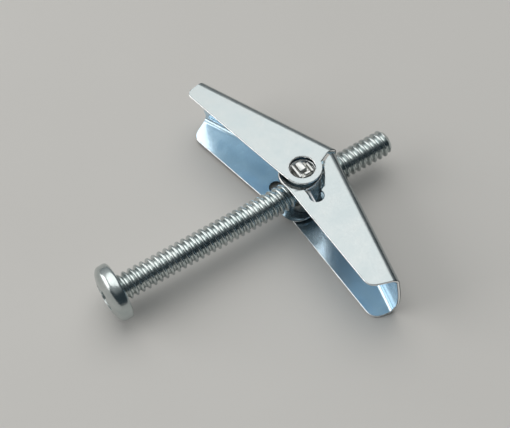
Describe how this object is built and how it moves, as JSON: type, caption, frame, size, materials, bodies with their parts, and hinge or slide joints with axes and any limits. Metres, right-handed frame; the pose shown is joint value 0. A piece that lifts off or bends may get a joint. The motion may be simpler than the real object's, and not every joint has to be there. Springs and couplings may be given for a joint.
{
  "type": "spring toggle wall anchor",
  "caption": "Spring toggle anchor: pan-head machine screw through a trunnion nut with two folding sheet-metal wings and a torsion spring.",
  "frame": {"origin": "centre of the screw head's bearing face, on the screw axis", "axes": "+X along the screw from the head to the tip, +Z along the trunnion axis, upward as the part lies, +Y towards the left wing"},
  "size_m": [0.0525, 0.0487, 0.0113],
  "materials": {
    "zinc_screw": "bright zinc plate",
    "zinc_nut": "dull zinc plate",
    "spring_wire": "drawn wire",
    "zinc_sheet": "bright zinc plate"
  },
  "bodies": {
    "screw": {"machine_screw": "zinc_screw"},
    "nut": {"trunnion_nut": "zinc_nut", "torsion_spring": "spring_wire"},
    "left_wing_body": {"left_wing": "zinc_sheet"},
    "right_wing_body": {"right_wing": "zinc_sheet"}
  },
  "joints": [
    {"name": "nut_travel", "type": "slide", "parent": "screw", "child": "nut", "axis": [1, 0, 0], "range_m": [-0.0075, 0.013]},
    {"name": "left_wing_fold", "type": "hinge", "parent": "nut", "child": "left_wing_body", "pos_m": [0.0336, 0, 0], "axis": [0, 0, 1], "range_deg": [0, 72], "stiffness_Nm_per_rad": 0.03, "springref_deg": -28.65, "deforming": ["torsion_spring"]},
    {"name": "right_wing_fold", "type": "hinge", "parent": "nut", "child": "right_wing_body", "pos_m": [0.0336, 0, 0], "axis": [0, 0, -1], "range_deg": [0, 83.5], "stiffness_Nm_per_rad": 0.03, "springref_deg": -28.65}
  ]
}
